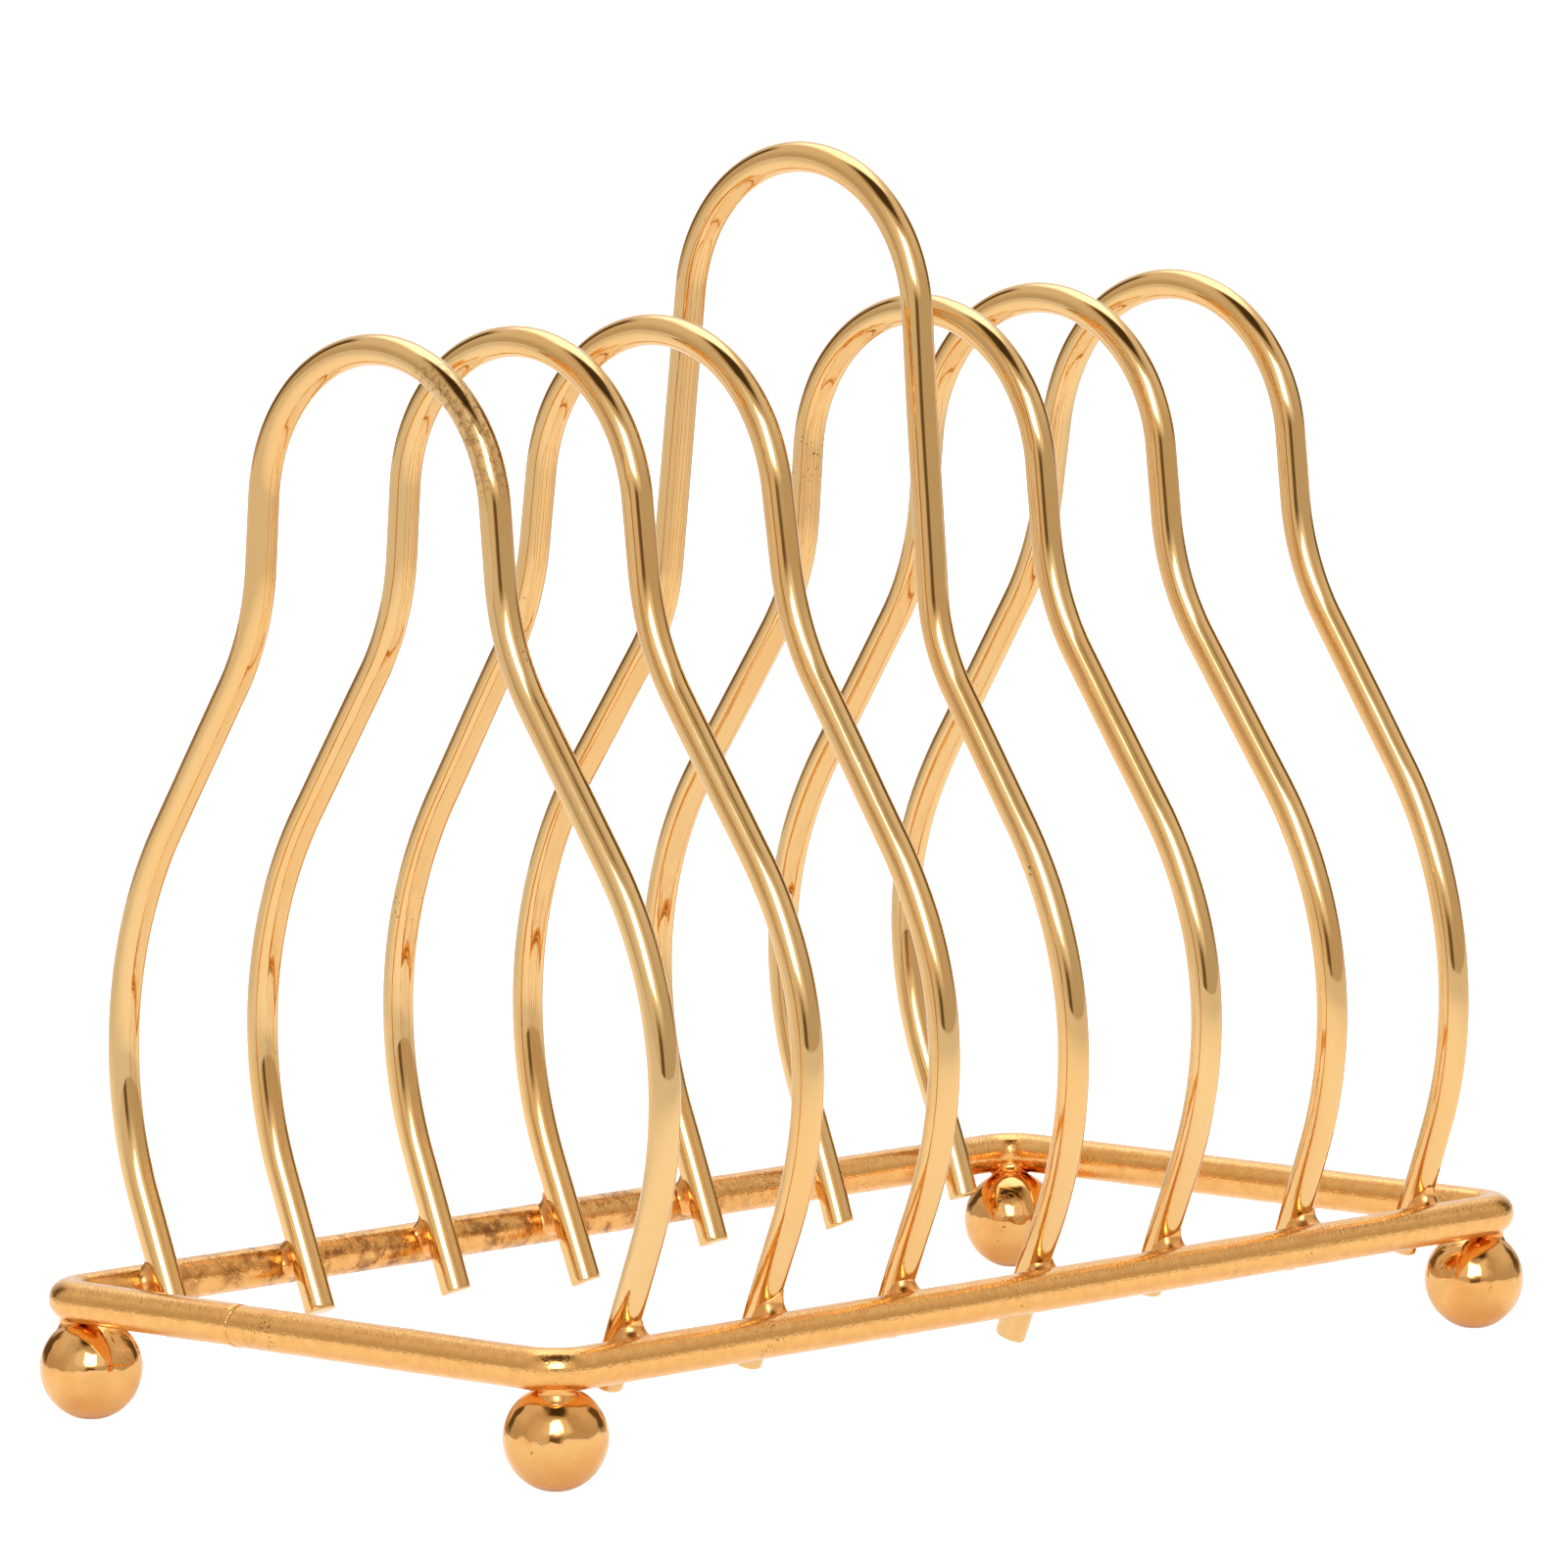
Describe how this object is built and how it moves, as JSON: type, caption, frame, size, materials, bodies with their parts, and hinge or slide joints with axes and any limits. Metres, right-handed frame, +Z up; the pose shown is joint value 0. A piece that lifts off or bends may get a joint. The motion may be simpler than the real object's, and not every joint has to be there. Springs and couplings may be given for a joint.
{
  "type": "toast rack",
  "caption": "Gold-plated wire toast rack: bell-shaped arches stand on a rounded base ring with ball feet, and a taller middle arch is the handle.",
  "frame": {"origin": "on the table, under the middle of the rack", "axes": "+X along the row of slices, +Y across the rack towards the rail farther from the viewer, +Z up"},
  "size_m": [0.1824, 0.0996, 0.1579],
  "materials": {
    "polished_gold": "bright gold plating, mirror polished, with hair-fine wipe marks",
    "satin_gold": "gold plating over drawn wire: satin, with long draw lines and scattered dark pits",
    "braze": "gold plating over brazing filler: smooth, slightly lumpy, a little redder"
  },
  "bodies": {
    "root": {"base_ring": "satin_gold", "ring_butt_weld": "braze", "ball_foot_front_left": "polished_gold", "foot_braze_front_left": "braze", "ball_foot_front_right": "polished_gold", "foot_braze_front_right": "braze", "ball_foot_back_left": "polished_gold", "foot_braze_back_left": "braze", "ball_foot_back_right": "polished_gold", "foot_braze_back_right": "braze", "slice_arch_1": "polished_gold", "leg_braze_slice_arch_1_front": "braze", "leg_braze_slice_arch_1_back": "braze", "slice_arch_2": "polished_gold", "leg_braze_slice_arch_2_front": "braze", "leg_braze_slice_arch_2_back": "braze", "slice_arch_3": "polished_gold", "leg_braze_slice_arch_3_front": "braze", "leg_braze_slice_arch_3_back": "braze", "handle_arch": "polished_gold", "leg_braze_handle_arch_front": "braze", "leg_braze_handle_arch_back": "braze", "slice_arch_4": "polished_gold", "leg_braze_slice_arch_4_front": "braze", "leg_braze_slice_arch_4_back": "braze", "slice_arch_5": "polished_gold", "leg_braze_slice_arch_5_front": "braze", "leg_braze_slice_arch_5_back": "braze", "slice_arch_6": "polished_gold", "leg_braze_slice_arch_6_front": "braze", "leg_braze_slice_arch_6_back": "braze"}
  },
  "joints": []
}
